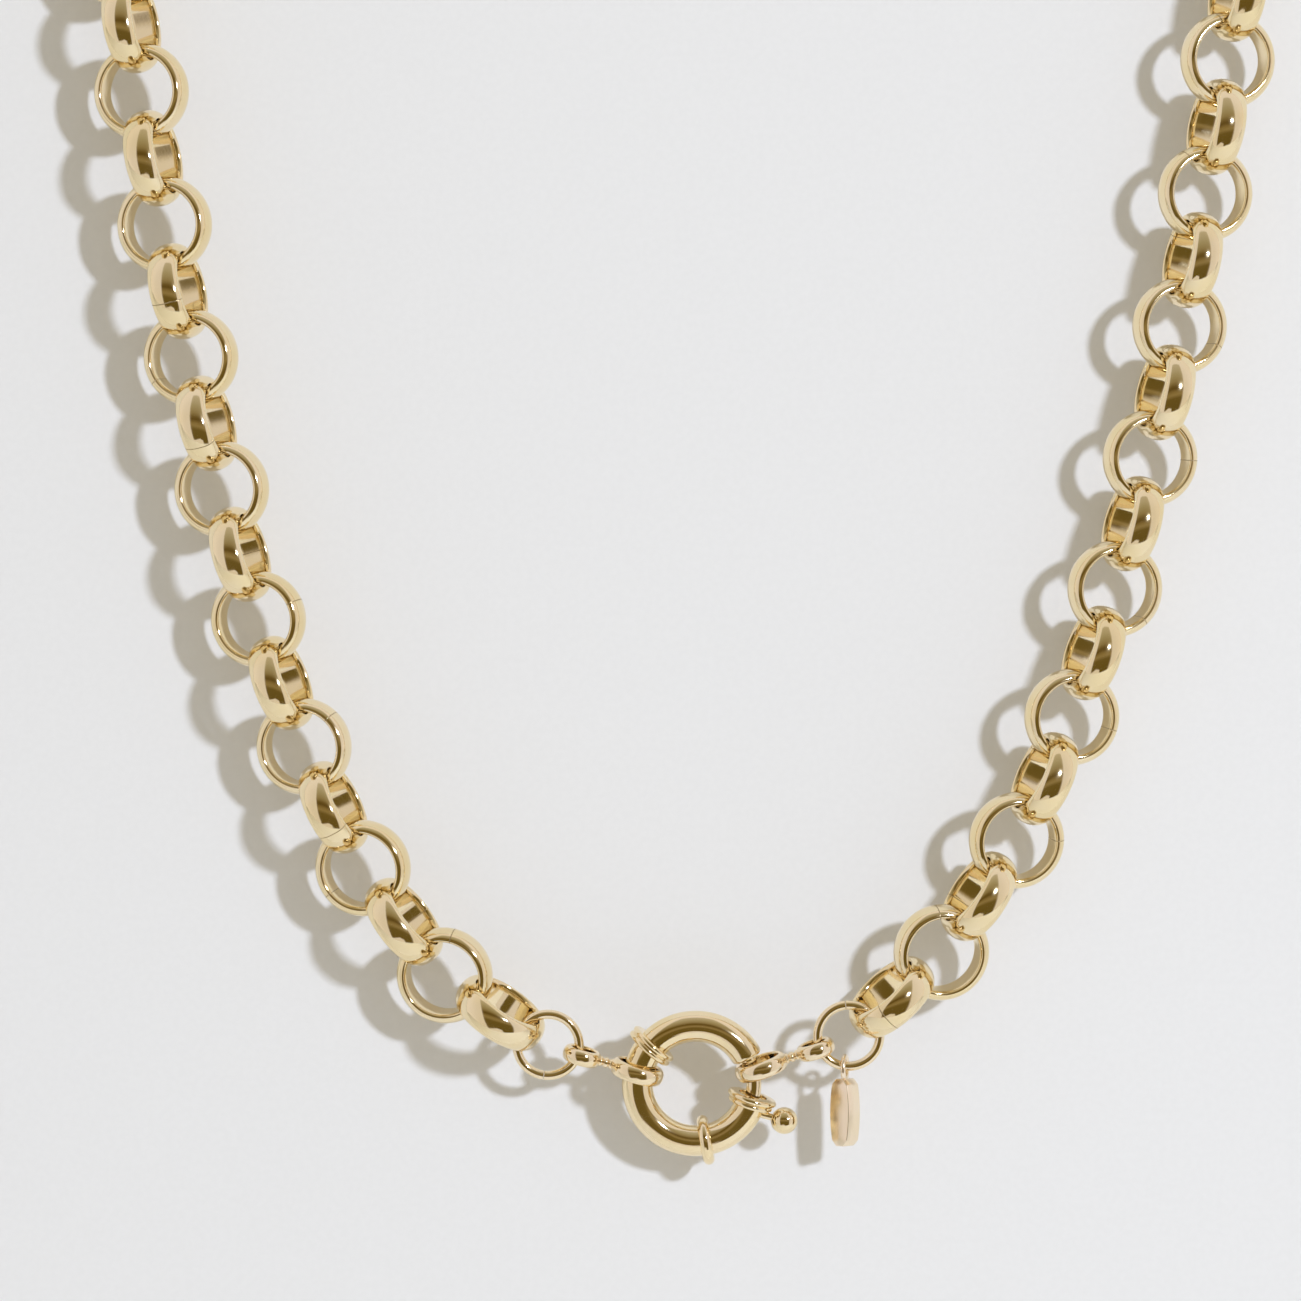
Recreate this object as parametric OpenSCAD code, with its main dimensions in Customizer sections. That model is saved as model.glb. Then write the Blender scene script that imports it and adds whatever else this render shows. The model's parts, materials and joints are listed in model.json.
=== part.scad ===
// Rolo chain necklace, hung up by the crown of its loop and closed at the bottom by a spring ring clasp.
// The loop lies in the XZ plane: +X to the right, +Y away from the viewer, +Z up, in millimetres.
// The origin is where the crown of the loop rests on its support.

/* [Chain links] */
// Outer diameter of a chain link
link_od = 8.3; // [7.5:0.1:10]
// Thickness of a link's band, from its flat inner wall to the top of its dome
link_t = 1.01; // [0.85:0.01:1.05]
// Width of a link's band
link_w = 2.7; // [2:0.05:3]
// Radius of the rounded inner edges of the band
link_edge = 0.48; // [0.35:0.01:0.55]
// Slack left between two pieces that hook into each other
slack = 0.22; // [0.19:0.01:0.26]
// Further slack at the two end links, where the run turns sharply
end_slack = 0.05; // [0.03:0.01:0.1]
// Number of links that face the viewer; one more stands edge-on
face_links = 37; // [25:1:45]

/* [Hang] */
// Radius that the hanging strands would have at their lowest point
strand_bow = 15.6; // [12:0.2:20]
// Slope of the left strand at its lowest link that faces the viewer
strand_slope = 44; // [38:1:50]
// Twist of the strands about their own run
strand_twist = 15; // [0:1:20]
// Lean of the clasp, its top edge towards the viewer
clasp_lean = 7; // [0:1:12]

/* [Jump rings] */
// Outer diameter of a jump ring
jump_od = 6.1; // [5.6:0.1:7]
// Wire diameter of a jump ring
jump_wire = 0.8; // [0.6:0.05:1]

/* [Connectors] */
// Outer diameter of the eye on the jump ring
small_eye_od = 3.35; // [3.2:0.05:4]
// Width of the small eye's band
small_eye_w = 1.35; // [1:0.05:1.6]
// Outer diameter of the eye on the clasp
big_eye_od = 4.65; // [4.5:0.05:5.2]
// Width of the big eye's band
big_eye_w = 1.45; // [1.2:0.05:1.6]
// Thickness of both eyes' bands
eye_t = 0.6; // [0.5:0.02:0.65]
// Length of the neck between the eyes
neck_len = 0.9; // [0.7:0.05:1.2]
// Diameter of the two beads on the neck
neck_bead = 0.9; // [0.7:0.05:1.1]

/* [Clasp ring] */
// Outer diameter of the clasp ring
ring_od = 12.6; // [11.6:0.1:14]
// Outer diameter of the ring's tube
tube_d = 2.65; // [2.4:0.05:2.8]
// Diameter of the tongue that closes the ring
tongue_d = 1.3; // [1:0.05:1.4]
// Radial clearance of the tongue in the tube
tongue_fit = 0.06; // [0.03:0.01:0.09]
// Wire diameter of the collars on the tube
collar_wire = 1; // [0.8:0.05:1.1]
// How far a collar's wire sinks into the tube's wall
collar_sink = 0.17; // [0.1:0.01:0.25]
// How far the closed tongue reaches into the ring's upper end
tongue_in = 0.3; // [0.2:0.05:0.5]
// Gap between that end and the connector that hangs on the tongue
mouth_gap = 0.12; // [0.1:0.01:0.2]

/* [Lever] */
// Diameter of the lever's ball
ball_d = 2.3; // [1.8:0.1:2.6]
// Diameter of the lever's pin
pin_d = 0.6; // [0.45:0.05:0.7]
// Distance from the tube's centre line to the centre of the ball
pin_reach = 3.3; // [3:0.1:4]

/* [Tag] */
// Height of the tag
tag_h = 5.75; // [5:0.05:8]
// Width of the tag at its middle
tag_w = 2.15; // [2:0.05:3]
// Width of the tag at its ends
tag_end_w = 1.5; // [1.4:0.1:1.9]
// Thickness of the tag
tag_t = 1.5; // [1.2:0.05:1.7]
// Turn of the tag's face away from the viewer, about the vertical
tag_turn = 44; // [30:1:50]
// Outer diameter of the wire loop on the tag's top
loop_od = 2.4; // [2.3:0.1:3]
// Wire diameter of that loop
loop_wire = 0.42; // [0.3:0.02:0.46]
// How deep the loop sits in the tag
loop_sink = 0.3; // [0.2:0.05:0.4]
// Turn of the loop, from flat towards the viewer to edge-on
loop_turn = 102; // [85:1:110]

/* [Hidden] */
$fn = 72;
gold = [0.83, 0.72, 0.5];
pale_gold = [0.9, 0.81, 0.6];

// Places on the clasp ring, as angles from +X towards +Z
left_eye_at = 168;
right_eye_at = 14.5;
collars_at = [139, -80, -17];
pin_root_at = -28;
pin_slope = -15.5;

// Place of the tag's loop on the right jump ring
tag_at = 263.3;

// The shoulders of a band's dome are rounded to this share of its rise
shoulder_share = 0.6;

// Slopes of the hanging pieces outwards from the clasp: connector, jump ring, end link
left_rise = [16, 18, 34];
right_rise = [18, 23, 42];

// A square inner edge would hook at half the band's width; a rounded one lets this share of its radius past
edge_share = 0.84;

// One link
link_r_in = link_od / 2 - link_t;
link_hook = link_w / 2 - edge_share * link_edge;
pitch = 2 * sqrt(link_r_in ^ 2 - link_hook ^ 2) - slack;

// Clasp
ring_r = (ring_od - tube_d) / 2;
bore_d = tongue_d + 2 * tongue_fit;
collar_od = tube_d + 2 * collar_wire - 2 * collar_sink;
big_eye_r_in = big_eye_od / 2 - eye_t;
small_eye_r_in = small_eye_od / 2 - eye_t;
eye_edge = eye_t / 3;
connector_len = small_eye_od / 2 + neck_len + big_eye_od / 2;

// Where the eyes sit: each hangs outwards as far as the bent bar through it lets it
eye_bend = (big_eye_w / 2) ^ 2 / (2 * ring_r);
left_eye_out = big_eye_r_in - tube_d / 2 - slack - eye_bend;
right_eye_out = big_eye_r_in - tongue_d / 2 - slack - eye_bend;

// Distances between the centres of pieces that hook into each other
jump_r_in = jump_od / 2 - jump_wire;
eye_hook = small_eye_w / 2 - edge_share * eye_edge;
jump_to_eye = sqrt(jump_r_in ^ 2 - eye_hook ^ 2) + small_eye_r_in - slack;
jump_to_link = link_r_in + sqrt(jump_r_in ^ 2 - link_hook ^ 2) - slack;

// The gap in the clasp ring: its upper end stands clear of the right eye, its lower end is at a collar
tube_top_at = right_eye_at + deg((big_eye_w / 2 + mouth_gap) / (ring_r + right_eye_out - big_eye_r_in));
tube_low_at = collars_at[2] + deg(collar_wire / 4 / ring_r);
tongue_top_at = tube_top_at + deg(tongue_in / ring_r);
tongue_tail_at = pin_root_at - deg(pin_d / ring_r);
lever_travel = tongue_top_at - tube_low_at;

// The slot for the lever's pin, which leaves the tube a little ahead of its root
slot_w = pin_d + 2 * tongue_fit;
pin_lead = deg(tube_d / 2 * sin(pin_slope - pin_root_at) / (ring_r + tube_d / 2));
slot_from = pin_root_at - lever_travel - deg(slot_w / 2 / (ring_r + bore_d / 2));
slot_to = pin_root_at + pin_lead + deg(slot_w / 2 / (ring_r + tube_d / 2));

// Positions as [x, z] from the centre of the clasp ring
function deg(turns_in_radians) = turns_in_radians * 180 / PI;
function polar(r, a) = [r * cos(a), r * sin(a)];
function heading(v) = atan2(v[1], v[0]);

left_eye = polar(ring_r + left_eye_out, left_eye_at);
right_eye = polar(ring_r + right_eye_out, right_eye_at);
left_small_eye = left_eye + polar(connector_len, 180 - left_rise[0]);
right_small_eye = right_eye + polar(connector_len, right_rise[0]);
left_jump = left_small_eye + polar(jump_to_eye, 180 - left_rise[1]);
right_jump = right_small_eye + polar(jump_to_eye, right_rise[1]);
end_pitch = pitch - end_slack;
left_start = left_jump + polar(jump_to_link - end_slack + end_pitch, 180 - left_rise[2]);
right_end = right_jump + polar(jump_to_link - end_slack + end_pitch, right_rise[2]);

// Each strand is a catenary of radius strand_bow, and s is its length from its lowest point
function asinh(v) = ln(v + sqrt(v * v + 1));
function strand_x(s) = strand_bow * asinh(s / strand_bow);
function strand_z(s) = sqrt(strand_bow ^ 2 + s ^ 2);
left_s = strand_bow * tan(strand_slope);
right_s = sqrt((strand_z(left_s) + right_end[1] - left_start[1]) ^ 2 - strand_bow ^ 2);
half_gap = (right_end[0] - left_start[0] - strand_x(left_s) - strand_x(right_s)) / 2;
axis_x = left_start[0] + strand_x(left_s) + half_gap;
axis_z = left_start[1] - strand_z(left_s);

// The crown is an arc that both strands run into; the length of the chain settles where it starts
route_len = (face_links - 1) * 2 * pitch;
function crown_dip(s) = atan(strand_bow / s);
function crown_r(s) = (half_gap + strand_x(s)) / cos(crown_dip(s));
function crown_len(s) = crown_r(s) * (180 + 2 * crown_dip(s)) * PI / 180;
function total_len(s) = 2 * s - left_s - right_s + crown_len(s);
function solve_top(low, high, n) =
    n == 0 ? (low + high) / 2 :
    total_len((low + high) / 2) < route_len ?
        solve_top((low + high) / 2, high, n - 1) :
        solve_top(low, (low + high) / 2, n - 1);
top_s = solve_top(right_s, route_len, 40);
dip = crown_dip(top_s);
crown = crown_r(top_s);
crown_z = strand_z(top_s) + crown * sin(dip);

// From the centre of the clasp ring to the part's own origin
clasp_x = -axis_x;
clasp_z = -axis_z - crown_z - crown + link_od / 2;
function placed(p) = [p[0] + clasp_x, p[1] + clasp_z];

// Centres of the links that face the viewer, by their distance u along the route from the left end
function crown_angle(u) = 180 + dip - deg((u - top_s + left_s) / crown);
function route_at(u) =
    u < top_s - left_s ?
        [-half_gap - strand_x(left_s + u), strand_z(left_s + u)] :
    u < top_s - left_s + crown_len(top_s) ?
        [0, crown_z] + polar(crown, crown_angle(u)) :
        [half_gap + strand_x(right_s + route_len - u), strand_z(right_s + route_len - u)];
face_at = [
    for (k = [0 : face_links - 1]) placed(route_at(2 * pitch * k) + [axis_x, axis_z])
];

// An edge-on link lies midway between its neighbours; the two at the ends point at the jump rings
first_edge = face_at[0] + end_pitch * unit(placed(left_jump) - face_at[0]);
last_edge = face_at[face_links - 1] + end_pitch * unit(placed(right_jump) - face_at[face_links - 1]);
edge_at = concat(
    [first_edge],
    [for (k = [0 : face_links - 2]) (face_at[k] + face_at[k + 1]) / 2],
    [last_edge]
);
function unit(v) = v / norm(v);

// The twist fades away over the crown
function twist_at(p) = p[1] < crown_base_z ? strand_twist : strand_twist * min(1, abs(p[0]) / crown);
crown_base_z = link_od / 2 - crown;

// The clasp, its connectors and the jump rings lean together, about a line through the jump rings
lean_z = (left_jump[1] + right_jump[1]) / 2;
function leant(p) = [
    p[0] + clasp_x,
    (lean_z - p[1]) * sin(clasp_lean),
    clasp_z + lean_z + (p[1] - lean_z) * cos(clasp_lean)
];

// The wire loop of the tag hangs on the lower part of the right jump ring
jump_low = leant(right_jump + polar((jump_od - jump_wire) / 2, tag_at));
loop_z = jump_low[2] + jump_wire / 2 + slack - loop_od / 2 + loop_wire;
tag_top_z = loop_z - loop_od / 2 + loop_sink;

// A band's section, to the right of its ring's axis: flat inner wall, rounded edges, domed outside
module band_section(od, t, w, edge) {
    rise = t - edge;
    rim_at = od / 2 - rise;
    shoulder = shoulder_share * rise;
    shoulder_z = w / 2 - shoulder;
    crown_r = (rise ^ 2 + shoulder_z ^ 2 - shoulder ^ 2) / (2 * (rise - shoulder));
    crown_z = shoulder_z * crown_r / (crown_r - shoulder);
    intersection() {
        translate([od / 2 - crown_r, 0]) circle(crown_r, $fn = 180);
        translate([rim_at, -crown_z]) square([t, 2 * crown_z]);
    }
    translate([rim_at - edge, edge - w / 2]) square([edge + rise / 2, w - 2 * edge]);
    for (side = [-1, 1]) {
        translate([rim_at, side * (w / 2 - edge)]) circle(edge, $fn = 48);
        intersection() {
            translate([rim_at, side * shoulder_z]) circle(shoulder, $fn = 48);
            translate([rim_at, -w / 2]) square([t, w]);
        }
    }
}

// A ring of that section, its axis along Z
module band_ring(od, t, w, edge) {
    rotate_extrude() band_section(od, t, w, edge);
}

module chain_link() {
    band_ring(link_od, link_t, link_w, link_edge);
}

// Puts what lies along X in its own frame on the route at p, heading along the given angle
module on_route(p, angle, twist) {
    translate([p[0], 0, p[1]])
        rotate([0, -angle, 0])
            rotate([-twist, 0, 0])
                children();
}

module face_link(k) {
    before = edge_at[k];
    after = edge_at[k + 1];
    on_route(face_at[k], heading(after - before), twist_at(face_at[k]))
        rotate([90, 0, 0])
            chain_link();
}

module edge_link(k) {
    run = k < face_links ? face_at[k] - edge_at[k] : edge_at[k] - face_at[k - 1];
    on_route(edge_at[k], heading(run), twist_at(edge_at[k])) chain_link();
}

// Each half of the chain has the links of its own side, and the left one has the link at the crown
module chain_left() {
    color(gold) {
        for (k = [0 : floor(face_links / 2)]) edge_link(k);
        for (k = [0 : floor(face_links / 2)]) face_link(k);
    }
}

module chain_right() {
    color(gold) {
        for (k = [floor(face_links / 2) + 1 : face_links]) edge_link(k);
        for (k = [floor(face_links / 2) + 1 : face_links - 1]) face_link(k);
    }
}

module wire_ring(od, wire) {
    rotate_extrude() translate([(od - wire) / 2, 0]) circle(d = wire, $fn = 48);
}

module jump_ring(p) {
    color(pale_gold) in_clasp() translate([p[0], 0, p[1]]) rotate([90, 0, 0]) wire_ring(jump_od, jump_wire);
}

module jump_ring_left() {
    jump_ring(left_jump);
}

module jump_ring_right() {
    jump_ring(right_jump);
}

// A connector lies along +X, with its big eye at its origin
module connector(p, angle) {
    color(pale_gold)
        in_clasp()
            translate([p[0], 0, p[1]])
                rotate([0, -angle, 0]) {
                    band_ring(big_eye_od, eye_t, big_eye_w, eye_edge);
                    translate([connector_len, 0, 0]) band_ring(small_eye_od, eye_t, small_eye_w, eye_edge);
                    translate([big_eye_od / 2 - eye_t / 2, 0, 0]) rotate([0, 90, 0]) neck();
                }
}

// The neck's two beads stand side by side on a short rod
module neck() {
    rotate_extrude() {
        square([neck_bead / 4, neck_len + eye_t]);
        for (side = [-1, 1])
            translate([neck_bead / 4, (neck_len + eye_t) / 2 + side * neck_len / 4])
                circle(neck_bead / 4, $fn = 40);
    }
}

module connector_left() {
    connector(left_eye, 180 - left_rise[0]);
}

module connector_right() {
    connector(right_eye, right_rise[0]);
}

// The clasp's own frame, at the ring's centre
module in_clasp() {
    translate([clasp_x, 0, clasp_z + lean_z]) rotate([clasp_lean, 0, 0]) translate([0, 0, -lean_z]) children();
}

// A bar of round section bent along the ring, from one angle to another
module bent(d, from, to) {
    rotate([90, 0, 0])
        rotate([0, 0, from])
            rotate_extrude(angle = to - from, $fn = 180)
                translate([ring_r, 0])
                    circle(d = d, $fn = 72);
}

// Something that stands on the ring's centre line, with its own Z along the tube
module at_ring(angle) {
    rotate([0, -angle, 0]) translate([ring_r, 0, 0]) children();
}

// Hollow tube with three collars soldered on, and a slot for the lever's pin
module clasp_ring() {
    color(gold)
        in_clasp()
            union() {
                difference() {
                    bent(tube_d, tube_top_at, 360 + tube_low_at);
                    bent(bore_d, tube_low_at, 360 + tube_low_at);
                    rotate([90, 0, 0])
                        rotate([0, 0, slot_from])
                            rotate_extrude(angle = slot_to - slot_from, $fn = 180)
                                translate([ring_r, -slot_w / 2])
                                    square([tube_d / 2 + tongue_fit, slot_w]);
                }
                for (a = collars_at) at_ring(a) wire_ring(collar_od, collar_wire);
            }
}

// The pin runs from a blind hole in the tongue to the ball, leaning off the ring's radius
module along_pin() {
    translate([ring_r * cos(pin_root_at), 0, ring_r * sin(pin_root_at)])
        rotate([0, 90 - pin_slope, 0])
            children();
}

module clasp_tongue() {
    color(pale_gold)
        in_clasp()
            difference() {
                bent(tongue_d, tongue_tail_at, tongue_top_at);
                along_pin() cylinder(d = pin_d + tongue_fit, h = tongue_d);
            }
}

module clasp_lever() {
    color(gold)
        in_clasp()
            along_pin() {
                translate([0, 0, tongue_fit]) cylinder(d = pin_d, h = pin_reach - ball_d / 4);
                translate([0, 0, pin_reach]) sphere(d = ball_d);
            }
}

// Oblong with bowed long sides and cut corners
module tag_outline() {
    bow = (tag_w - tag_end_w) / 2;
    side_r = ((tag_h / 2) ^ 2 + bow ^ 2) / (2 * bow);
    flat_end = tag_end_w / 4;
    intersection() {
        translate([side_r - tag_w / 2, 0]) circle(side_r, $fn = 360);
        translate([tag_w / 2 - side_r, 0]) circle(side_r, $fn = 360);
        polygon([
            for (side = [[1, 1], [-1, 1], [-1, -1], [1, -1]], far = side[0] * side[1] > 0 ? [1, 0] : [0, 1])
                [side[0] * (flat_end + far * tag_w), side[1] * (tag_h / 2 - far * tag_w)]
        ]);
    }
}

// Bare tag with its loop soldered into the top
module tag() {
    color(pale_gold)
        translate([jump_low[0], jump_low[1], 0])
            union() {
                translate([0, 0, tag_top_z - tag_h / 2])
                    rotate([90, 0, -tag_turn])
                        translate([0, 0, -tag_t / 2])
                            linear_extrude(tag_t)
                                tag_outline();
                translate([0, 0, loop_z])
                    rotate([90, 0, -loop_turn])
                        wire_ring(loop_od, loop_wire);
            }
}

chain_left();
chain_right();
jump_ring_left();
jump_ring_right();
connector_left();
connector_right();
clasp_ring();
clasp_tongue();
clasp_lever();
tag();
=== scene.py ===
import json
import math

import bmesh
import bpy
import numpy as np
from mathutils import Matrix, Vector


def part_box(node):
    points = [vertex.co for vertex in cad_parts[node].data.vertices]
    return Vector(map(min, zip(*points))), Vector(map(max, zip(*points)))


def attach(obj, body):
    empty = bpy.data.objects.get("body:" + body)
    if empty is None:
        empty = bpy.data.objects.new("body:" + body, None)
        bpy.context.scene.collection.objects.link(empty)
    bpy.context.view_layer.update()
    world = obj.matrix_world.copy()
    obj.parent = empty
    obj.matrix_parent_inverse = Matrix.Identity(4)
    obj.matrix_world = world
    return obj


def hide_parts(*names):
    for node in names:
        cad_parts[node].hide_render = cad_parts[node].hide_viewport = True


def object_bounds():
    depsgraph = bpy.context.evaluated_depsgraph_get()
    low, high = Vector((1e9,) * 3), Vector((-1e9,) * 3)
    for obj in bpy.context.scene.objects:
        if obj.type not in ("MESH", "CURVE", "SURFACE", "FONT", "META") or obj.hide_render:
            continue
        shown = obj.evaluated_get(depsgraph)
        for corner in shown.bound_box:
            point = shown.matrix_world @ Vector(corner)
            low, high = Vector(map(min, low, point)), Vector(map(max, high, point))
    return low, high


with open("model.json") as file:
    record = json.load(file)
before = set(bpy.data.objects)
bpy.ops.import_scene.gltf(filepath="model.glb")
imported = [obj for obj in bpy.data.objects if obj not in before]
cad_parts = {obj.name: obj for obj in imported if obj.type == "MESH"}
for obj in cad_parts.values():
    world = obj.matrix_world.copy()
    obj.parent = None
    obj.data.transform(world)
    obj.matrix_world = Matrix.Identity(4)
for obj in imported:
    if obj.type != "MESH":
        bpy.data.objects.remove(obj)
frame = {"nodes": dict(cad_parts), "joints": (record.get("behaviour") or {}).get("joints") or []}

CAD_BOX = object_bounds()
MM = 0.001
TOUCHING = 1e-4 * MM
SHARP_ABOVE = 50
SHARP_ABOVE_CUT = 30

# Chain links
LINK_OD = 8.3 * MM
LINK_T = 1.01 * MM
LINK_W = 2.7 * MM
LINK_EDGE = 0.48 * MM
LINK_LIP = 0.25 * MM
LINK_STEPS = 72
BAND_STEPS = 36
# A link faces the viewer where its axis has at least this part along Y
FACES_VIEWER = 0.7
SEAM_SEED = 7
SEAM_FROM = 0.08
SEAM_TO = 0.92

# Jump rings
JUMP_OD = 6.1 * MM
JUMP_WIRE = 0.8 * MM
JUMP_CUT = 0.05 * MM
JUMP_END_R = 0.04 * MM
JUMP_ROWS = 120
JUMP_CUT_AT = {"jump_ring_left": 262, "jump_ring_right": 96}

# Connectors
SMALL_EYE_OD = 3.35 * MM
SMALL_EYE_W = 1.35 * MM
BIG_EYE_OD = 4.65 * MM
BIG_EYE_W = 1.45 * MM
EYE_T = 0.6 * MM
NECK_LEN = 0.9 * MM
NECK_BEAD = 0.9 * MM
NECK_BEADS = 3
NECK_GROOVE = 0.55
NECK_STEPS = 32
EYE_STEPS = 72
EYE_BAND_STEPS = 32
# Each bead stops short of its own ends, where it meets the next, by this angle
BEAD_STOP = 10
BEAD_ROWS = 9

# Clasp, with its places as angles from +X towards +Z about the ring's centre
RING_OD = 12.6 * MM
TUBE_D = 2.65 * MM
TUBE_FROM = 26.45
TUBE_TO = 345.88
BORE_D = 1.42 * MM
TONGUE_D = 1.3 * MM
TONGUE_FROM = -34.9
TONGUE_TO = 29.9
TONGUE_END_R = 0.15 * MM
COLLAR_OD = 4.31 * MM
COLLAR_W = 1 * MM
COLLAR_SINK = 0.1 * MM
# Each collar's place, then how far the radius of each of its ridges differs from the widest
COLLARS = ((139, (0, 0)), (-80, (0,)), (-17, (-0.2 * MM, 0)))
SLOT_W = 0.72 * MM
SLOT_FROM = -75.65
SLOT_TO = -22.1
PIN_ROOT_AT = -28
PIN_SLOPE = -15.5
PIN_FROM = 0.06 * MM
PIN_D = 0.6 * MM
PIN_REACH = 3.3 * MM
BALL_D = 2.3 * MM
TUBE_STEPS = 48
TUBE_ROWS = 142
BORE_ROWS = 72
LIP_ROWS = 9
SLOT_ROWS = 48
TONGUE_ROWS = 40
ROD_STEPS = 40
ROD_END_ROWS = 5
COLLAR_STEPS = 64
RIDGE_ROWS = 13
# How far down from its top each ridge goes in the groove between two
RIDGE_TO_GROOVE = 60
LEVER_STEPS = 64
BALL_ROWS = 40

# Tag
TAG_H = 5.75 * MM
TAG_W = 2.15 * MM
TAG_END_W = 1.5 * MM
TAG_T = 1.5 * MM
TAG_TURN = 44
TAG_BEVEL = 0.07 * MM
TAG_BEVEL_STEPS = 4
TAG_BEVEL_ABOVE = 40
TAG_CUT_STEP = 0.01 * MM
TAG_SIDE_ROWS = 14
LOOP_OD = 2.4 * MM
LOOP_WIRE = 0.42 * MM
LOOP_TURN = 102
LOOP_STEPS = 24
LOOP_ROWS = 72

# Finishes, with scales per metre
TINT_SCALE = 260
DULL_SCALE = 900
MARKS_SCALE = 5200
MARKS_DEPTH = 0.004 * MM
PATCH_DULLNESS = 0.05
MARKS_DULLNESS = 0.03
SEAM_DULLNESS = 0.3
SEAM_DEPTH = 6 * MARKS_DEPTH
SEAM_COLOUR = (0.2, 0.12, 0.04)
# How far from its middle the seam is whole, where it ends and how far it wanders, in turns of the link
SEAM_HALF = (0.0008, 0.0022)
SEAM_WAVER = 0.002
WAVER_SCALE = 1500
PAPER_SCALE = 1800

# Camera and surroundings
VIEW_FROM_CLASP = (-3.85 * MM, 36.98 * MM)
VIEW_WIDTH = 111 * MM
VIEW_DISTANCE = 475 * MM
SENSOR_WIDTH = 36
WALL_Y = 4.95 * MM
FLOOR_Z = -450 * MM
SIDE_REACH = 3
WALL_REACH = 2
FLOOR_FRONT_Y = -0.3
PAPER_COLOUR = (0.86, 0.86, 0.86)
PAPER_HOLLOWS = (0.8471, 0.8471, 0.8471)
KEY_PLACE = (268 * MM, -410 * MM, -16 * MM)
KEY_RADIUS = 20 * MM
KEY_STRENGTH = 25
KEY_COLOUR = (0.8, 0.86, 1)
FILL = (0.482, 0.447, 0.367)
ROOM_SIDES = (0.73, 0.69, 0.7)
ROOM_EDGES = (0.82, 0.78, 0.8)
ROOM_FADE = (-0.7, -0.1)
# The dark card that the gold mirrors. It fades out over a stretch at its left and at its right.
# Its shades go by the height at which the necklace sees them: 0 is straight down, 0.5 level and 1 straight up
CARD_Y = -440 * MM
CARD_LEVEL = -110 * MM
CARD_LEFT = (-360 * MM, -300 * MM)
CARD_RIGHT = (360 * MM, 480 * MM)
CARD_OUTLINE_MM = (
    (-480, -640), (-60, -440), (60, -480), (150, -1000), (480, -1400), (480, 1100), (-480, 1100),
)
CARD_SHADES = (
    (0, (0.12, 0.085, 0.018)),
    (0.36, (0.14, 0.098, 0.023)),
    (0.44, (0.27, 0.205, 0.09)),
    (0.5, (0.22, 0.16, 0.06)),
    (0.57, (0.11, 0.07, 0.014)),
    (0.62, (0.14, 0.095, 0.025)),
    (0.71, (0.27, 0.215, 0.11)),
    (0.84, (0.36, 0.32, 0.21)),
    (0.94, (0.46, 0.42, 0.33)),
    (1, (0.53, 0.49, 0.43)),
)


class Wire:
    """A socket in a node tree. Operators on it add Math nodes, so maths is written as an expression."""

    def __init__(self, graph, socket):
        self.graph = graph
        self.socket = socket

    def beside(self, name):
        """Another output of the same node."""
        return Wire(self.graph, self.socket.node.outputs[name])

    def math(self, operation, *others):
        return self.graph.math(operation, self, *others)

    def __add__(self, other):
        return self.math("ADD", other)

    def __sub__(self, other):
        return self.math("SUBTRACT", other)

    def __rsub__(self, other):
        return self.graph.math("SUBTRACT", other, self)

    def __mul__(self, other):
        return self.math("MULTIPLY", other)

    def __truediv__(self, other):
        return self.math("DIVIDE", other)

    def __rtruediv__(self, other):
        return self.graph.math("DIVIDE", other, self)

    def __abs__(self):
        return self.math("ABSOLUTE")

    __radd__ = __add__
    __rmul__ = __mul__


class Graph:
    """A node tree that is being built."""

    def __init__(self, tree):
        self.tree = tree

    def add(self, kind, settings=None, sockets=None, out=0):
        """Adds a node of that type: its settings first, then the values or links of its sockets."""
        node = self.tree.nodes.new(kind)
        for name, value in (settings or {}).items():
            if name == "stops":
                self.set_stops(node.color_ramp.elements, value)
            else:
                setattr(node, name, value)
        for key, value in (sockets or {}).items():
            if isinstance(value, Wire):
                self.tree.links.new(value.socket, node.inputs[key])
            else:
                node.inputs[key].default_value = value
        return Wire(self, node.outputs[out]) if node.outputs else node

    def set_stops(self, elements, stops):
        while len(elements) < len(stops):
            elements.new(1)
        for element, (place, colour) in zip(elements, stops):
            element.position = place
            element.color = (*colour, 1)

    def math(self, operation, *values):
        return self.add("ShaderNodeMath", {"operation": operation}, dict(enumerate(values)))

    def between(self, value, low, high):
        """0 where value is at or below low, 1 at or above high, and smooth between."""
        return self.add(
            "ShaderNodeMapRange",
            {"interpolation_type": "SMOOTHSTEP"},
            {"Value": value, "From Min": low, "From Max": high},
        )

    def mix(self, factor, first, second):
        """A colour between first and second."""
        return self.add(
            "ShaderNodeMix",
            {"data_type": "RGBA"},
            {"Factor": factor, 6: first, 7: second},
            out=2,
        )

    def noise(self, where, scale, detail=2):
        return self.add("ShaderNodeTexNoise", None, {"Vector": where, "Scale": scale, "Detail": detail})

    def parts(self, vector):
        x = self.add("ShaderNodeSeparateXYZ", None, {"Vector": vector}, out="X")
        return x, x.beside("Y"), x.beside("Z")


def blank_graph(owner):
    """The emptied node tree of a material, lamp or world."""
    owner.use_nodes = True
    owner.node_tree.nodes.clear()
    return Graph(owner.node_tree)


# Materials

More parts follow.
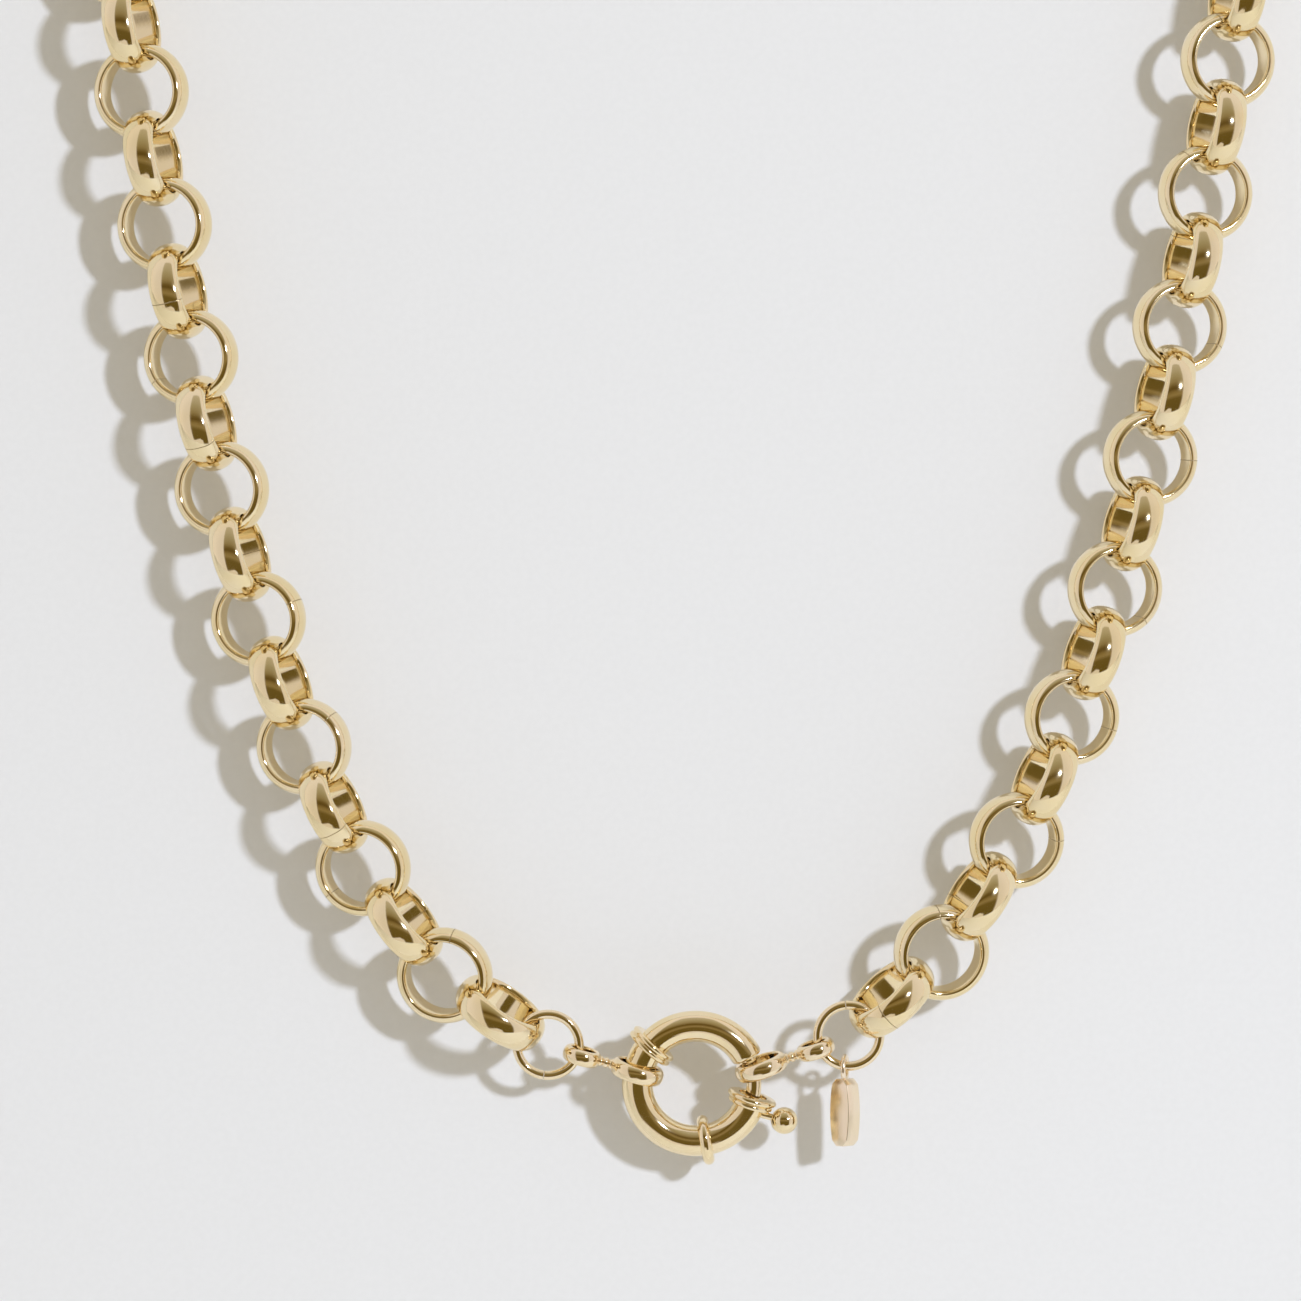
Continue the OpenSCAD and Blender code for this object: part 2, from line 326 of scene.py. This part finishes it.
def gold(name, pale, deep, dullness=0.07, seams=False):
    """Polished plating: slow drifts of tint, a few dull patches, and faint polishing marks."""
    material = bpy.data.materials.new(name)
    g = blank_graph(material)
    where = g.add("ShaderNodeTexCoord", out="Object")
    drift = g.noise(where, TINT_SCALE)
    marks = g.noise(where, MARKS_SCALE, detail=4)
    patches = g.between(g.noise(where, DULL_SCALE, detail=3), 0.45, 0.75)
    colour = g.mix(g.between(drift, 0.35, 0.65), (*pale, 1), (*deep, 1))
    roughness = dullness + PATCH_DULLNESS * patches + MARKS_DULLNESS * marks
    height = marks
    if seams:
        mask = seam_mask(g, where)
        colour = g.mix(mask * 0.75, colour, (*SEAM_COLOUR, 1))
        roughness = roughness + SEAM_DULLNESS * mask
        height = marks - SEAM_DEPTH / MARKS_DEPTH * mask
    bump = g.add("ShaderNodeBump", None, {"Strength": 0.25, "Distance": MARKS_DEPTH, "Height": height})
    shader = g.add(
        "ShaderNodeBsdfPrincipled",
        None,
        {
            "Base Color": colour,
            "Metallic": 1,
            "Roughness": roughness,
            "Normal": bump,
        },
    )
    g.add("ShaderNodeOutputMaterial", None, {"Surface": shader})
    return material


def seam_mask(g, where):
    """1 on the hairline where a link was soldered shut."""
    around = g.parts(g.add("ShaderNodeUVMap", {"uv_map": "around_link"}))[0]
    seam = g.add("ShaderNodeAttribute", {"attribute_name": "seam"}, out="Fac")
    waver = (g.noise(where, WAVER_SCALE) - 0.5) * SEAM_WAVER
    return 1 - g.between(abs(around - seam + waver), *SEAM_HALF)


def plain_paper(name, one_sided=False):
    """Smooth matt paper. A one-sided sheet isn't there when it is met from behind."""
    material = bpy.data.materials.new(name)
    g = blank_graph(material)
    tooth = g.noise(g.add("ShaderNodeTexCoord", out="Object"), PAPER_SCALE, detail=3)
    tint = g.mix(g.between(tooth, 0.3, 0.7), (*PAPER_HOLLOWS, 1), (*PAPER_COLOUR, 1))
    shader = g.add(
        "ShaderNodeBsdfPrincipled",
        None,
        {"Base Color": tint, "Roughness": 0.9, "Specular IOR Level": 0.2},
    )
    if one_sided:
        behind = g.add("ShaderNodeNewGeometry", out="Backfacing")
        clear = g.add("ShaderNodeBsdfTransparent")
        shader = g.add("ShaderNodeMixShader", None, {0: behind, 1: shader, 2: clear})
    g.add("ShaderNodeOutputMaterial", None, {"Surface": shader})
    return material


# Meshes

def mesh_of(name, points, faces, matrix=Matrix()):
    """A smooth mesh with its doubles merged and its faces outwards, moved by the matrix."""
    mesh = bpy.data.meshes.new(name)
    mesh.from_pydata([tuple(p) for p in points], [], faces)
    shape = bmesh.new()
    shape.from_mesh(mesh)
    bmesh.ops.remove_doubles(shape, verts=shape.verts, dist=TOUCHING)
    bmesh.ops.recalc_face_normals(shape, faces=shape.faces)
    shape.to_mesh(mesh)
    shape.free()
    mesh.transform(matrix)
    smooth(mesh)
    return mesh


def smooth(mesh, sharp_above=SHARP_ABOVE):
    mesh.polygons.foreach_set("use_smooth", [True] * len(mesh.polygons))
    mesh.set_sharp_from_angle(angle=math.radians(sharp_above))


def turned(name, profile, place, steps, closed=False, matrix=Matrix()):
    """A profile of (along, out) points turned about its line; place(along, across, over) puts each point."""
    turns = np.linspace(0, 2 * math.pi, steps, endpoint=False)
    points = [place(a, out * math.cos(t), out * math.sin(t)) for a, out in profile for t in turns]
    rows = len(profile)
    faces = [
        (
            row * steps + k,
            row * steps + (k + 1) % steps,
            (row + 1) % rows * steps + (k + 1) % steps,
            (row + 1) % rows * steps + k,
        )
        for row in range(rows if closed else rows - 1)
        for k in range(steps)
    ]
    return mesh_of(name, points, faces, matrix)


def on_circle(radius):
    """Places points about a circle in the XZ plane, along in degrees from +X towards +Z."""
    def place(along, across, over):
        a = math.radians(along)
        return ((radius + across) * math.cos(a), over, (radius + across) * math.sin(a))
    return place


def along_x(along, across, over):
    return (along, across, over)


def along_z(along, across, over):
    return (across, over, along)


def arc(centre, radius, start, end, steps):
    """Points on an arc, as (along, out), with its angles in degrees from along towards out."""
    angles = np.radians(np.linspace(start, end, steps))
    return [(centre[0] + radius * math.cos(a), centre[1] + radius * math.sin(a)) for a in angles]


def band_section(od, t, w, edge, lip, steps):
    """The closed section of a half-round band, as (along the axis, out), rounded over edge and lip inside."""
    rise = t - lip
    flat = w / 2 - edge
    section = []
    for a in np.linspace(0, 2 * math.pi, steps, endpoint=False):
        z = w / 2 * math.sin(a)
        if math.cos(a) > 0:
            height = rise * math.cos(a)
        else:
            height = -lip * math.sqrt(1 - (max(abs(z) - flat, 0) / edge) ** 2)
        section.append((z, od / 2 - rise + height))
    return section


def joined(name, meshes):
    """One mesh of several."""
    shape = bmesh.new()
    for mesh in meshes:
        shape.from_mesh(mesh)
    result = bpy.data.meshes.new(name)
    shape.to_mesh(result)
    shape.free()
    smooth(result)
    return result


def in_scene(name, data):
    """A new object of the scene that holds this mesh, lamp or camera."""
    item = bpy.data.objects.new(name, data)
    bpy.context.scene.collection.objects.link(item)
    return item


def used_up(work):
    """The mesh that the object's modifiers make of it. The object is removed."""
    result = bpy.data.meshes.new_from_object(work.evaluated_get(bpy.context.evaluated_depsgraph_get()))
    bpy.data.objects.remove(work)
    return result


def finished(mesh, kind, settings):
    """The mesh with a modifier of that kind applied."""
    work = in_scene("work", mesh)
    modifier = work.modifiers.new(kind.lower(), kind)
    for name, value in settings.items():
        setattr(modifier, name, value)
    return used_up(work)


def combined(mesh, other, operation):
    """The mesh less another, or united with it."""
    tool = in_scene("tool", other)
    result = finished(mesh, "BOOLEAN", {"object": tool, "operation": operation, "solver": "EXACT"})
    bpy.data.objects.remove(tool)
    smooth(result, SHARP_ABOVE_CUT)
    return result


def add_piece(name, mesh, material, slot, body, *nodes):
    """Shows the mesh in place of CAD nodes, riding on their body."""
    piece = in_scene(name, mesh)
    mesh.materials.clear()
    mesh.materials.append(material)
    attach(piece, body)
    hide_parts(*nodes)


# Where the frame's solids are

def points_of(node):
    data = frame["nodes"][node].data
    points = np.empty(len(data.vertices) * 3, np.float32)
    data.vertices.foreach_get("co", points)
    return points.reshape(-1, 3).astype(float)


def solids_of(node):
    """The points of each separate solid in a node."""
    shape = bmesh.new()
    shape.from_mesh(frame["nodes"][node].data)
    bmesh.ops.remove_doubles(shape, verts=shape.verts, dist=TOUCHING)
    left = set(shape.verts)
    solids = []
    while left:
        front = [left.pop()]
        found = []
        while front:
            vertex = front.pop()
            found.append(tuple(vertex.co))
            for edge in vertex.link_edges:
                other = edge.other_vert(vertex)
                if other in left:
                    left.remove(other)
                    front.append(other)
        solids.append(np.array(found))
    shape.free()
    return solids


def main_axes(points):
    """The middle of a set of points, and its axes from the shortest to the longest."""
    axes = np.linalg.eigh(np.cov((points - points.mean(0)).T))[1].T
    spans = points @ axes.T
    middle = (spans.min(0) + spans.max(0)) / 2
    return Vector(middle @ axes), [Vector(a) for a in axes]


def link_places():
    """Each link's node, centre, ring axis and run, in order round the loop from the left end."""
    found = []
    for node in ("chain_left", "chain_right"):
        for points in solids_of(node):
            centre, axes = main_axes(points)
            found.append([node, centre, axes[0]])
    lo, hi = CAD_BOX
    found.sort(key=lambda link: -math.atan2(link[1].z - (lo.z + hi.z) / 2, link[1].x) % (2 * math.pi))
    gaps = [(found[i][1] - found[i - 1][1]).length for i in range(len(found))]
    start = gaps.index(max(gaps))
    found = found[start:] + found[:start]
    for i, (node, centre, axis) in enumerate(found):
        before = found[max(i - 1, 0)][1]
        after = found[min(i + 1, len(found) - 1)][1]
        run = (after - before).normalized()
        facing = axis if abs(axis.y) > FACES_VIEWER else axis.cross(run)
        if facing.y > 0:
            axis = -axis
        found[i] = (node, centre, axis, run)
    return found


# Chain

def link_tree(material):
    """Geometry Nodes that put a round link with a half-round band at each point, by its axis and run."""
    tree = bpy.data.node_groups.new("round_links", "GeometryNodeTree")
    tree.interface.new_socket("Places", in_out="INPUT", socket_type="NodeSocketGeometry")
    lengths = ("Outer diameter", "Band thickness", "Band width", "Edge width", "Edge height")
    for name in lengths:
        tree.interface.new_socket(name, in_out="INPUT", socket_type="NodeSocketFloat")
    for name in ("Steps round", "Steps across"):
        tree.interface.new_socket(name, in_out="INPUT", socket_type="NodeSocketInt")
    tree.interface.new_socket("Links", in_out="OUTPUT", socket_type="NodeSocketGeometry")
    g = Graph(tree)
    places = g.add("NodeGroupInput", out="Places")
    od, t, w, edge, lip = (places.beside(name) for name in lengths)
    grid = g.add(
        "GeometryNodeMeshGrid",
        None,
        {
            "Size X": 1,
            "Size Y": 1,
            "Vertices X": places.beside("Steps round") + 1,
            "Vertices Y": places.beside("Steps across") + 1,
        },
    )
    u, v, _ = g.parts(g.add("GeometryNodeInputPosition"))
    turn = (u + 0.5) * (2 * math.pi)
    over = (v + 0.5) * (2 * math.pi)
    rise = t - lip
    z = w / 2 * over.math("SINE")
    dome = rise * over.math("COSINE").math("MAXIMUM", 0)
    past_flat = (abs(z) - (w / 2 - edge)).math("MAXIMUM", 0) / edge
    inner = lip * (1 - past_flat * past_flat).math("MAXIMUM", 0).math("SQRT")
    inside = over.math("COSINE").math("LESS_THAN", 0)
    out = od / 2 - rise + dome - inside * inner
    position = g.add(
        "ShaderNodeCombineXYZ",
        None,
        {"X": out * turn.math("COSINE"), "Y": out * turn.math("SINE"), "Z": z},
    )
    mapped = g.add(
        "GeometryNodeStoreNamedAttribute",
        {"data_type": "FLOAT2", "domain": "CORNER"},
        {"Geometry": grid, "Name": "around_link", "Value": grid.beside("UV Map")},
    )
    bent = g.add("GeometryNodeSetPosition", None, {"Geometry": mapped, "Position": position})
    closed = g.add("GeometryNodeMergeByDistance", None, {"Geometry": bent, "Distance": TOUCHING})
    link = g.add("GeometryNodeSetShadeSmooth", None, {"Geometry": closed})
    axis = g.add("GeometryNodeInputNamedAttribute", {"data_type": "FLOAT_VECTOR"}, {"Name": "axis"})
    run = g.add("GeometryNodeInputNamedAttribute", {"data_type": "FLOAT_VECTOR"}, {"Name": "run"})
    upright = g.add("FunctionNodeAlignRotationToVector", {"axis": "Z"}, {"Vector": axis})
    along_run = g.add(
        "FunctionNodeAlignRotationToVector",
        {"axis": "X", "pivot_axis": "Z"},
        {"Rotation": upright, "Vector": run},
    )
    put = g.add(
        "GeometryNodeInstanceOnPoints",
        None,
        {"Points": places, "Instance": link, "Rotation": along_run},
    )
    real = g.add("GeometryNodeRealizeInstances", None, {"Geometry": put})
    dressed = g.add("GeometryNodeSetMaterial", None, {"Geometry": real, "Material": material})
    g.add("NodeGroupOutput", None, {"Links": dressed})
    return tree


def add_chain(material):
    """Fine links where the frame has coarse ones, each with a solder seam somewhere on it."""
    tree = link_tree(material)
    sizes = {
        "Outer diameter": LINK_OD,
        "Band thickness": LINK_T,
        "Band width": LINK_W,
        "Edge width": LINK_EDGE,
        "Edge height": LINK_LIP,
        "Steps round": LINK_STEPS,
        "Steps across": BAND_STEPS,
    }
    random = np.random.default_rng(SEAM_SEED)
    places = link_places()
    seams = random.uniform(SEAM_FROM, SEAM_TO, len(places))
    for node in ("chain_left", "chain_right"):
        chosen = [(*place[1:], seam) for place, seam in zip(places, seams) if place[0] == node]
        centres, axes, runs, chosen_seams = zip(*chosen)
        source = bpy.data.meshes.new("link_places")
        source.from_pydata(centres, [], [])
        for name, kind, key, values in (
            ("axis", "FLOAT_VECTOR", "vector", axes),
            ("run", "FLOAT_VECTOR", "vector", runs),
            ("seam", "FLOAT", "value", chosen_seams),
        ):
            attribute = source.attributes.new(name, kind, "POINT")
            attribute.data.foreach_set(key, np.array(values, np.float32).ravel())
        work = in_scene("link_places", source)
        modifier = work.modifiers.new("links", "NODES")
        modifier.node_group = tree
        for item in tree.interface.items_tree:
            if item.name in sizes:
                modifier[item.identifier] = sizes[item.name]
        add_piece(node.replace("chain", "links"), used_up(work), material, "chain_gold", "necklace", node)


# Clasp and what hangs on it

def clasp_matrix():
    """From the clasp's own frame, with +Y along the lever's hinge, to the row's."""
    joint = frame["joints"][0]
    across = Vector((1, 0, 0))
    hinge = Vector(joint["axis"]).normalized()
    up = across.cross(hinge)
    turn = Matrix((across, hinge, up)).transposed().to_4x4()
    return Matrix.Translation(joint["pos_m"]) @ turn


def in_clasp(node):
    """A node's points in the clasp's own frame."""
    back = np.array(clasp_matrix().inverted())
    return points_of(node) @ back[:3, :3].T + back[:3, 3]


def placed_in_clasp(x, z, slope=0):
    """A matrix that puts +X along a slope in the clasp's plane, at (x, z)."""
    return clasp_matrix() @ Matrix.Translation((x, 0, z)) @ Matrix.Rotation(-math.radians(slope), 4, "Y")


def rounded_end(at, inward, radius, round_r, per_metre):
    """A rod's end from its pole to its full radius, as (along, out). Inward is 1 or -1."""
    return [(at, 0)] + [
        (at + inward * round_r * (1 - math.cos(a)) * per_metre, radius - round_r * (1 - math.sin(a)))
        for a in np.radians(np.linspace(0, 90, ROD_END_ROWS))
    ]


def bent_rod(name, radius_of_bend, radius, start, end, round_r, steps, matrix):
    """A round rod bent about the origin from one angle to another, its ends rounded."""
    per_metre = math.degrees(1 / radius_of_bend)
    first = rounded_end(start, 1, radius, round_r, per_metre)
    last = rounded_end(end, -1, radius, round_r, per_metre)[::-1]
    middle = [(a, radius) for a in np.linspace(first[-1][0], last[0][0], steps)[1:-1]]
    return turned(name, first + middle + last, on_circle(radius_of_bend), ROD_STEPS, matrix=matrix)


def add_jump_rings(material):
    for node, cut_at in JUMP_CUT_AT.items():
        points = in_clasp(node)
        middle = (points.min(0) + points.max(0)) / 2
        bend = (JUMP_OD - JUMP_WIRE) / 2
        half_cut = math.degrees(JUMP_CUT / 2 / bend)
        start = cut_at + half_cut
        end = cut_at + 360 - half_cut
        matrix = placed_in_clasp(middle[0], middle[2])
        mesh = bent_rod(node, bend, JUMP_WIRE / 2, start, end, JUMP_END_R, JUMP_ROWS, matrix)
        add_piece("wire_" + node, mesh, material, "trim_gold", "necklace", node)


def eye(name, od, w, matrix):
    """A small domed ring, its axis along Z."""
    profile = band_section(od, EYE_T, w, EYE_T / 3, EYE_T / 4, EYE_BAND_STEPS)
    return turned(name, profile, along_z, EYE_STEPS, closed=True, matrix=matrix)


def neck(matrix):
    """A rod of beads side by side, along X."""
    bead_r = NECK_BEAD / 2
    pitch = (NECK_LEN + EYE_T) / NECK_BEADS
    rod_r = bead_r * NECK_GROOVE
    profile = [(-EYE_T / 2, 0), (-EYE_T / 2, rod_r)]
    for k in range(NECK_BEADS):
        middle = -EYE_T / 2 + (k + 0.5) * pitch
        half = pitch / 2
        for a in np.radians(np.linspace(180 - BEAD_STOP, BEAD_STOP, BEAD_ROWS)):
            profile.append((middle + half * math.cos(a), rod_r + (bead_r - rod_r) * math.sin(a)))
    profile += [(NECK_LEN + EYE_T / 2, rod_r), (NECK_LEN + EYE_T / 2, 0)]
    return turned("neck", profile, along_x, NECK_STEPS, matrix=matrix)


def add_connectors(material):
    for side in ("left", "right"):
        node = "connector_" + side
        flat = in_clasp(node)[:, (0, 2)]
        middle, axes = main_axes(np.c_[flat, np.zeros(len(flat))])
        out = np.array(axes[2][:2])
        out *= math.copysign(1, out @ np.array(middle[:2]))
        side_way = np.array((-out[1], out[0]))
        near = (flat @ out).min()
        lateral = ((flat @ side_way).min() + (flat @ side_way).max()) / 2
        centre = out * (near + BIG_EYE_OD / 2) + side_way * lateral
        slope = math.degrees(math.atan2(out[1], out[0]))
        base = placed_in_clasp(centre[0], centre[1], slope)
        reach = SMALL_EYE_OD / 2 + NECK_LEN + BIG_EYE_OD / 2
        meshes = [
            eye("big_eye", BIG_EYE_OD, BIG_EYE_W, base),
            eye("small_eye", SMALL_EYE_OD, SMALL_EYE_W, base @ Matrix.Translation((reach, 0, 0))),
            neck(base @ Matrix.Translation((BIG_EYE_OD / 2, 0, 0))),
        ]
        add_piece("beaded_" + node, joined(node, meshes), material, "trim_gold", "necklace", node)


def ring_radius():
    return (RING_OD - TUBE_D) / 2


def tube_lip(at, inward, angles):
    """A rounded end of the tube's wall, as (along, out). Inward is 1 or -1."""
    lip_r = (TUBE_D - BORE_D) / 4
    middle = (TUBE_D + BORE_D) / 4
    per_metre = math.degrees(1 / ring_radius())
    return [
        (at + inward * lip_r * (1 - math.sin(a)) * per_metre, middle + lip_r * math.cos(a))
        for a in np.radians(np.linspace(*angles, LIP_ROWS))
    ]


def tube_mesh():
    """The bent tube with rounded lips at both ends and a slot on its outside for the pin."""
    profile = tube_lip(TUBE_FROM, 1, (180, 0))
    profile += [(a, TUBE_D / 2) for a in np.linspace(TUBE_FROM, TUBE_TO, TUBE_ROWS)[2:-2]]
    profile += tube_lip(TUBE_TO, -1, (0, 180))
    profile += [(a, BORE_D / 2) for a in np.linspace(TUBE_TO, TUBE_FROM, BORE_ROWS)[2:-2]]
    tube = turned("tube", profile, on_circle(ring_radius()), TUBE_STEPS, closed=True)
    return combined(tube, slot_cutter(), "DIFFERENCE")


def slot_cutter():
    """A curved bar through the tube's outer wall."""
    inner = ring_radius() + TONGUE_D / 4
    outer = ring_radius() + TUBE_D
    points, faces = [], []
    angles = np.radians(np.linspace(SLOT_FROM, SLOT_TO, SLOT_ROWS))
    for a in angles:
        for radius, y in ((inner, -1), (outer, -1), (outer, 1), (inner, 1)):
            points.append((radius * math.cos(a), y * SLOT_W / 2, radius * math.sin(a)))
    for k in range(len(angles) - 1):
        for j in range(4):
            faces.append((4 * k + j, 4 * k + (j + 1) % 4, 4 * k + 4 + (j + 1) % 4, 4 * k + 4 + j))
    last = len(points) - 4
    faces += [(0, 1, 2, 3), (last, last + 1, last + 2, last + 3)]
    return mesh_of("slot", points, faces)


def collar_mesh(at, ridges):
    """A collar round the tube, with one round ridge or two."""
    inner = TUBE_D / 2 - COLLAR_SINK
    half = COLLAR_W / 2 / len(ridges)
    profile = [(-COLLAR_W / 2, inner)]
    for k, difference in enumerate(ridges):
        middle = -COLLAR_W / 2 + half + 2 * half * k
        first = 180 if k == 0 else 90 + RIDGE_TO_GROOVE
        last = 0 if k == len(ridges) - 1 else 90 - RIDGE_TO_GROOVE
        profile += arc((middle, COLLAR_OD / 2 + difference - half), half, first, last, RIDGE_ROWS)
    profile += [(COLLAR_W / 2, inner)]
    matrix = Matrix.Rotation(-math.radians(at), 4, "Y") @ Matrix.Translation((ring_radius(), 0, 0))
    return turned("collar", profile, along_z, COLLAR_STEPS, closed=True, matrix=matrix)


def add_clasp(ring_gold, tongue_gold):
    collars = [collar_mesh(at, ridges) for at, ridges in COLLARS]
    ring = joined("ring", [tube_mesh()] + collars)
    matrix = clasp_matrix()
    ring.transform(matrix)
    add_piece("spring_ring", ring, ring_gold, "clasp_gold", "necklace", "clasp_ring")
    tongue = bent_rod(
        "tongue", ring_radius(), TONGUE_D / 2, TONGUE_FROM, TONGUE_TO, TONGUE_END_R, TONGUE_ROWS, matrix
    )
    add_piece("tongue", tongue, tongue_gold, "clasp_gold", "clasp_slide", "clasp_tongue")
    add_piece("ball_lever", lever_mesh(), ring_gold, "clasp_gold", "clasp_slide", "clasp_lever")


def lever_mesh():
    """A pin with a ball, turned in one about the pin's own line."""
    ball_r = BALL_D / 2
    neck_at = math.degrees(math.asin(PIN_D / 2 / ball_r))
    profile = [(PIN_FROM, 0)]
    profile += [(a, PIN_D / 2) for a in np.linspace(PIN_FROM, PIN_REACH - ball_r, 9)]
    profile += [
        (PIN_REACH - ball_r * math.cos(a), ball_r * math.sin(a))
        for a in np.radians(np.linspace(neck_at, 180, BALL_ROWS))
    ]
    root = math.radians(PIN_ROOT_AT)
    base = placed_in_clasp(ring_radius() * math.cos(root), ring_radius() * math.sin(root), PIN_SLOPE)
    return turned("lever", profile, along_x, LEVER_STEPS, matrix=base)


# Tag

def add_tag(material):
    """The plate with its loop soldered into its top."""
    lo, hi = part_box("tag")
    x = (lo[0] + hi[0]) / 2
    y = (lo[1] + hi[1]) / 2
    plate = tag_plate()
    plate.transform(upright_at((x, y, lo[2] + TAG_H / 2), TAG_TURN))
    wire = [(a, LOOP_WIRE / 2) for a in np.linspace(0, 360, LOOP_ROWS, endpoint=False)]
    matrix = upright_at((x, y, hi[2] - LOOP_OD / 2), LOOP_TURN)
    bend = on_circle((LOOP_OD - LOOP_WIRE) / 2)
    loop = turned("loop", wire, bend, LOOP_STEPS, closed=True, matrix=matrix)
    add_piece("plain_tag", combined(plate, loop, "UNION"), material, "trim_gold", "necklace", "tag")


def upright_at(place, turn):
    """A matrix that turns a piece about its height, clockwise from above, and moves it to a place."""
    return Matrix.Translation(place) @ Matrix.Rotation(-math.radians(turn), 4, "Z")


def tag_outline():
    """Oblong with bowed long sides and corners cut at 45 degrees, as (x, z)."""
    bow = (TAG_W - TAG_END_W) / 2
    side_r = ((TAG_H / 2) ** 2 + bow ** 2) / (2 * bow)
    flat = TAG_END_W / 4
    top = TAG_H / 2
    cut_z = top
    while side_r - TAG_W / 2 + flat + (top - cut_z) < math.sqrt(side_r ** 2 - cut_z ** 2):
        cut_z -= TAG_CUT_STEP
    heights = np.linspace(0, cut_z, TAG_SIDE_ROWS)
    quarter = [(math.sqrt(side_r ** 2 - z ** 2) - side_r + TAG_W / 2, z) for z in heights]
    quarter.append((flat, top))
    right = [(x, -z) for x, z in reversed(quarter[1:])] + quarter
    return right + [(-x, -z) for x, z in right]


def tag_plate():
    outline = tag_outline()
    count = len(outline)
    points = [(x, y, z) for y in (-TAG_T / 2, TAG_T / 2) for x, z in outline]
    faces = [tuple(range(count)), tuple(range(count, 2 * count))]
    faces += [(k, (k + 1) % count, count + (k + 1) % count, count + k) for k in range(count)]
    bevel = {
        "width": TAG_BEVEL,
        "segments": TAG_BEVEL_STEPS,
        "limit_method": "ANGLE",
        "angle_limit": math.radians(TAG_BEVEL_ABOVE),
    }
    return finished(mesh_of("tag", points, faces), "BEVEL", bevel)


# Surroundings

def add_sheet(name, points, material):
    """A flat sheet that is not part of the necklace."""
    mesh = mesh_of(name, points, [tuple(range(len(points)))])
    mesh.materials.append(material)
    sheet = in_scene(name, mesh)
    return sheet


def add_surroundings():
    """A pale wall close behind, a pale floor below, one lamp, a dark card and a pale room."""
    corners = ((-1, -1), (1, -1), (1, 1), (-1, 1))
    wall = add_sheet(
        "wall",
        [(x * SIDE_REACH, WALL_Y, z * WALL_REACH) for x, z in corners],
        plain_paper("wall_paper", one_sided=True),
    )
    if wall.data.polygons[0].normal.y > 0:
        wall.data.flip_normals()
    add_sheet(
        "floor",
        [(x * SIDE_REACH, WALL_Y if back > 0 else FLOOR_FRONT_Y, FLOOR_Z) for x, back in corners],
        plain_paper("floor_paper"),
    )
    add_key()
    add_card()
    add_room()


def add_key():
    """One lamp to the right of the viewer. Its light doesn't fall off, so the wall is evenly lit."""
    key = bpy.data.lights.new("key", "POINT")
    key.energy = KEY_STRENGTH
    key.color = KEY_COLOUR
    key.shadow_soft_size = KEY_RADIUS
    g = blank_graph(key)
    even = g.add("ShaderNodeLightFalloff", None, {"Strength": 1}, out="Constant")
    glow = g.add("ShaderNodeEmission", None, {"Strength": even})
    g.add("ShaderNodeOutputLight", None, {"Surface": glow})
    in_scene("key", key).location = KEY_PLACE


def add_card():
    """A dark card round the camera. Only mirrored rays meet it, so it shades neither paper nor gold."""
    material = bpy.data.materials.new("card")
    g = blank_graph(material)
    x, _, z = g.parts(g.add("ShaderNodeTexCoord", out="Object"))
    slope = (z - CARD_LEVEL) / abs(CARD_Y)
    height = slope / (slope * slope + 1).math("SQRT")
    shade = g.add("ShaderNodeValToRGB", {"stops": CARD_SHADES}, {"Fac": height * 0.5 + 0.5})
    glow = g.add("ShaderNodeEmission", None, {"Color": shade})
    present = g.between(x, *CARD_LEFT) * (1 - g.between(x, *CARD_RIGHT))
    clear = g.add("ShaderNodeBsdfTransparent")
    surface = g.add("ShaderNodeMixShader", None, {0: present, 1: clear, 2: glow})
    g.add("ShaderNodeOutputMaterial", None, {"Surface": surface})
    card = add_sheet("card", [(x * MM, CARD_Y, z * MM) for x, z in CARD_OUTLINE_MM], material)
    card.visible_camera = False
    card.visible_diffuse = False
    card.visible_shadow = False


def add_room():
    """A pale room, brighter towards the wall, and an even warm fill for the paper."""
    world = bpy.data.worlds.new("room")
    bpy.context.scene.world = world
    g = blank_graph(world)
    _, y, _ = g.parts(g.add("ShaderNodeTexCoord", out="Generated"))
    colour = g.mix(g.between(y, *ROOM_FADE), (*ROOM_SIDES, 1), (*ROOM_EDGES, 1))
    on_paper = g.add("ShaderNodeLightPath", out="Is Diffuse Ray")
    colour = g.mix(on_paper, colour, (*FILL, 1))
    glow = g.add("ShaderNodeBackground", None, {"Color": colour})
    g.add("ShaderNodeOutputWorld", None, {"Surface": glow})


def add_camera():
    clasp = frame["joints"][0]["pos_m"]
    camera = bpy.data.cameras.new("camera")
    camera.sensor_width = SENSOR_WIDTH
    camera.lens = camera.sensor_width * VIEW_DISTANCE / VIEW_WIDTH
    viewer = in_scene("camera", camera)
    viewer.location = (clasp[0] + VIEW_FROM_CLASP[0], -VIEW_DISTANCE, clasp[2] + VIEW_FROM_CLASP[1])
    viewer.rotation_euler = (math.radians(90), 0, 0)
    bpy.context.scene.camera = viewer
    bpy.context.scene.view_settings.view_transform = "Standard"


chain_gold = gold("chain_gold", (0.92, 0.775, 0.505), (0.9, 0.74, 0.43), seams=True)
clasp_gold = gold("clasp_gold", (0.94, 0.79, 0.52), (0.93, 0.765, 0.46))
trim_gold = gold("trim_gold", (0.95, 0.8, 0.56), (0.93, 0.77, 0.49))
tag_gold = gold("tag_gold", (0.96, 0.82, 0.63), (0.95, 0.8, 0.57), dullness=0.18)
add_camera()
add_chain(chain_gold)
add_jump_rings(trim_gold)
add_connectors(trim_gold)
add_clasp(clasp_gold, trim_gold)
add_tag(tag_gold)
add_surroundings()
